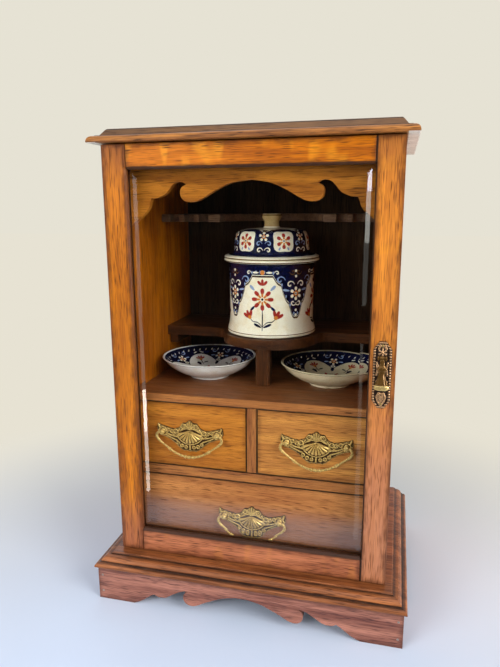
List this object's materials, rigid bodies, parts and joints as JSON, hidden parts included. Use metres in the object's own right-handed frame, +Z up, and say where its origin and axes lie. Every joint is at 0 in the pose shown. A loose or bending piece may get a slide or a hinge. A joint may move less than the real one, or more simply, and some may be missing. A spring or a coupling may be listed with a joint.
{
  "type": "smokers cabinet",
  "caption": "Small oak smoker's cabinet: bevelled glass door over shell-pull drawers, pipe rack, jar and dishes, on a scroll-cut moulded plinth.",
  "frame": {"origin": "floor, under the middle of the cabinet's footprint", "axes": "+Z up, -Y out of the glazed front, +X to the viewer's right as one faces the door"},
  "size_m": [0.335, 0.246, 0.503],
  "materials": {
    "oak_door": "polished honey oak",
    "oak_case": "polished amber oak",
    "oak_plinth": "polished red-brown oak",
    "oak_top": "polished oak, worn greyer",
    "oak_inside": "dark stained oak",
    "oak_lining": "bare planed oak",
    "brass": "aged brass",
    "glass": "clear, bevelled",
    "glazed_ware": "glossy glaze"
  },
  "bodies": {
    "cabinet": {"plinth_board": "oak_plinth", "plinth_front_apron": "oak_plinth", "plinth_left_apron": "oak_plinth", "plinth_right_apron": "oak_plinth", "plinth_back_rail": "oak_plinth", "left_side": "oak_case", "right_side": "oak_case", "back_panel": "oak_inside", "top_board": "oak_top", "bottom_board": "oak_inside", "drawer_rail_board": "oak_case", "drawer_shelf": "oak_case", "drawer_divider": "oak_case", "pelmet": "oak_inside", "pipe_rack_rail": "oak_inside", "pipe_rack_shelf": "oak_inside", "jar_seat_post": "oak_case", "shelf_bearer_left": "oak_inside", "shelf_bearer_right": "oak_inside", "hinge_upper_frame_leaf": "brass", "hinge_lower_frame_leaf": "brass", "hinge_upper_pin": "brass", "hinge_lower_pin": "brass"},
    "door": {"door_left_stile": "oak_door", "door_right_stile": "oak_door", "door_top_rail": "oak_door", "door_bottom_rail": "oak_door", "door_glass": "glass", "glazing_bead": "oak_door", "door_plate": "brass", "hinge_upper_door_leaf": "brass", "hinge_lower_door_leaf": "brass", "catch_barrel": "brass"},
    "drop_pull": {"drop_pull": "brass"},
    "catch_ball": {"catch_ball": "brass"},
    "left_drawer": {"left_drawer_front": "oak_case", "left_drawer_left_side": "oak_lining", "left_drawer_right_side": "oak_lining", "left_drawer_back": "oak_lining", "left_drawer_bottom": "oak_lining", "left_drawer_pull_plate": "brass"},
    "right_drawer": {"right_drawer_front": "oak_case", "right_drawer_left_side": "oak_lining", "right_drawer_right_side": "oak_lining", "right_drawer_back": "oak_lining", "right_drawer_bottom": "oak_lining", "right_drawer_pull_plate": "brass"},
    "long_drawer": {"long_drawer_front": "oak_case", "long_drawer_left_side": "oak_lining", "long_drawer_right_side": "oak_lining", "long_drawer_back": "oak_lining", "long_drawer_bottom": "oak_lining", "long_drawer_pull_plate": "brass"},
    "left_bail": {"left_drawer_bail": "brass"},
    "right_bail": {"right_drawer_bail": "brass"},
    "long_bail": {"long_drawer_bail": "brass"},
    "jar": {"jar": "glazed_ware"},
    "jar_lid": {"jar_lid": "glazed_ware"},
    "dish_left": {"dish_left": "glazed_ware"},
    "dish_right": {"dish_right": "glazed_ware"}
  },
  "joints": [
    {"name": "door_hinge", "type": "hinge", "parent": "cabinet", "child": "door", "pos_m": [-0.1477, -0.07885, 0.27], "axis": [0, 0, -1], "range_deg": [0, 170]},
    {"name": "drop_pull_hinge", "type": "hinge", "parent": "door", "child": "drop_pull", "pos_m": [0.1325, -0.1015, 0.2895], "axis": [-1, 0, 0], "range_deg": [0, 70]},
    {"name": "catch_ball_press", "type": "slide", "parent": "door", "child": "catch_ball", "axis": [0, 0, -1], "range_m": [0, 0.0007], "stiffness_N_per_m": 80},
    {"name": "left_drawer_slide", "type": "slide", "parent": "cabinet", "child": "left_drawer", "axis": [0, -1, 0], "range_m": [0, 0.0831]},
    {"name": "right_drawer_slide", "type": "slide", "parent": "cabinet", "child": "right_drawer", "axis": [0, -1, 0], "range_m": [0, 0.1187]},
    {"name": "long_drawer_slide", "type": "slide", "parent": "cabinet", "child": "long_drawer", "axis": [0, -1, 0], "range_m": [0, 0.0831]},
    {"name": "left_bail_hinge", "type": "hinge", "parent": "left_drawer", "child": "left_bail", "pos_m": [-0.06932, -0.0761, 0.1866], "axis": [-1, 0, 0], "range_deg": [0, 75]},
    {"name": "right_bail_hinge", "type": "hinge", "parent": "right_drawer", "child": "right_bail", "pos_m": [0.06932, -0.0761, 0.1866], "axis": [-1, 0, 0], "range_deg": [0, 75]},
    {"name": "long_bail_hinge", "type": "hinge", "parent": "long_drawer", "child": "long_bail", "pos_m": [0, -0.0761, 0.0934], "axis": [-1, 0, 0], "range_deg": [0, 75]},
    {"name": "jar_lift", "type": "slide", "parent": "cabinet", "child": "jar", "axis": [0, 0, 1], "range_m": [0, 0.028]},
    {"name": "lid_lift", "type": "slide", "parent": "jar", "child": "jar_lid", "axis": [0, 0, 1], "range_m": [0, 0.038]},
    {"name": "dish_left_lift", "type": "slide", "parent": "cabinet", "child": "dish_left", "axis": [0, 0, 1], "range_m": [0, 0.006]},
    {"name": "dish_right_lift", "type": "slide", "parent": "cabinet", "child": "dish_right", "axis": [0, 0, 1], "range_m": [0, 0.006]}
  ],
  "couplings": [
    {"joint": "left_drawer_slide", "follows": "door_hinge", "m_per_rad": 0.028},
    {"joint": "right_drawer_slide", "follows": "door_hinge", "m_per_rad": 0.04},
    {"joint": "long_drawer_slide", "follows": "door_hinge", "m_per_rad": 0.028},
    {"joint": "left_bail_hinge", "follows": "door_hinge", "ratio": 0.44},
    {"joint": "right_bail_hinge", "follows": "door_hinge", "ratio": 0.44},
    {"joint": "long_bail_hinge", "follows": "door_hinge", "ratio": 0.44}
  ]
}
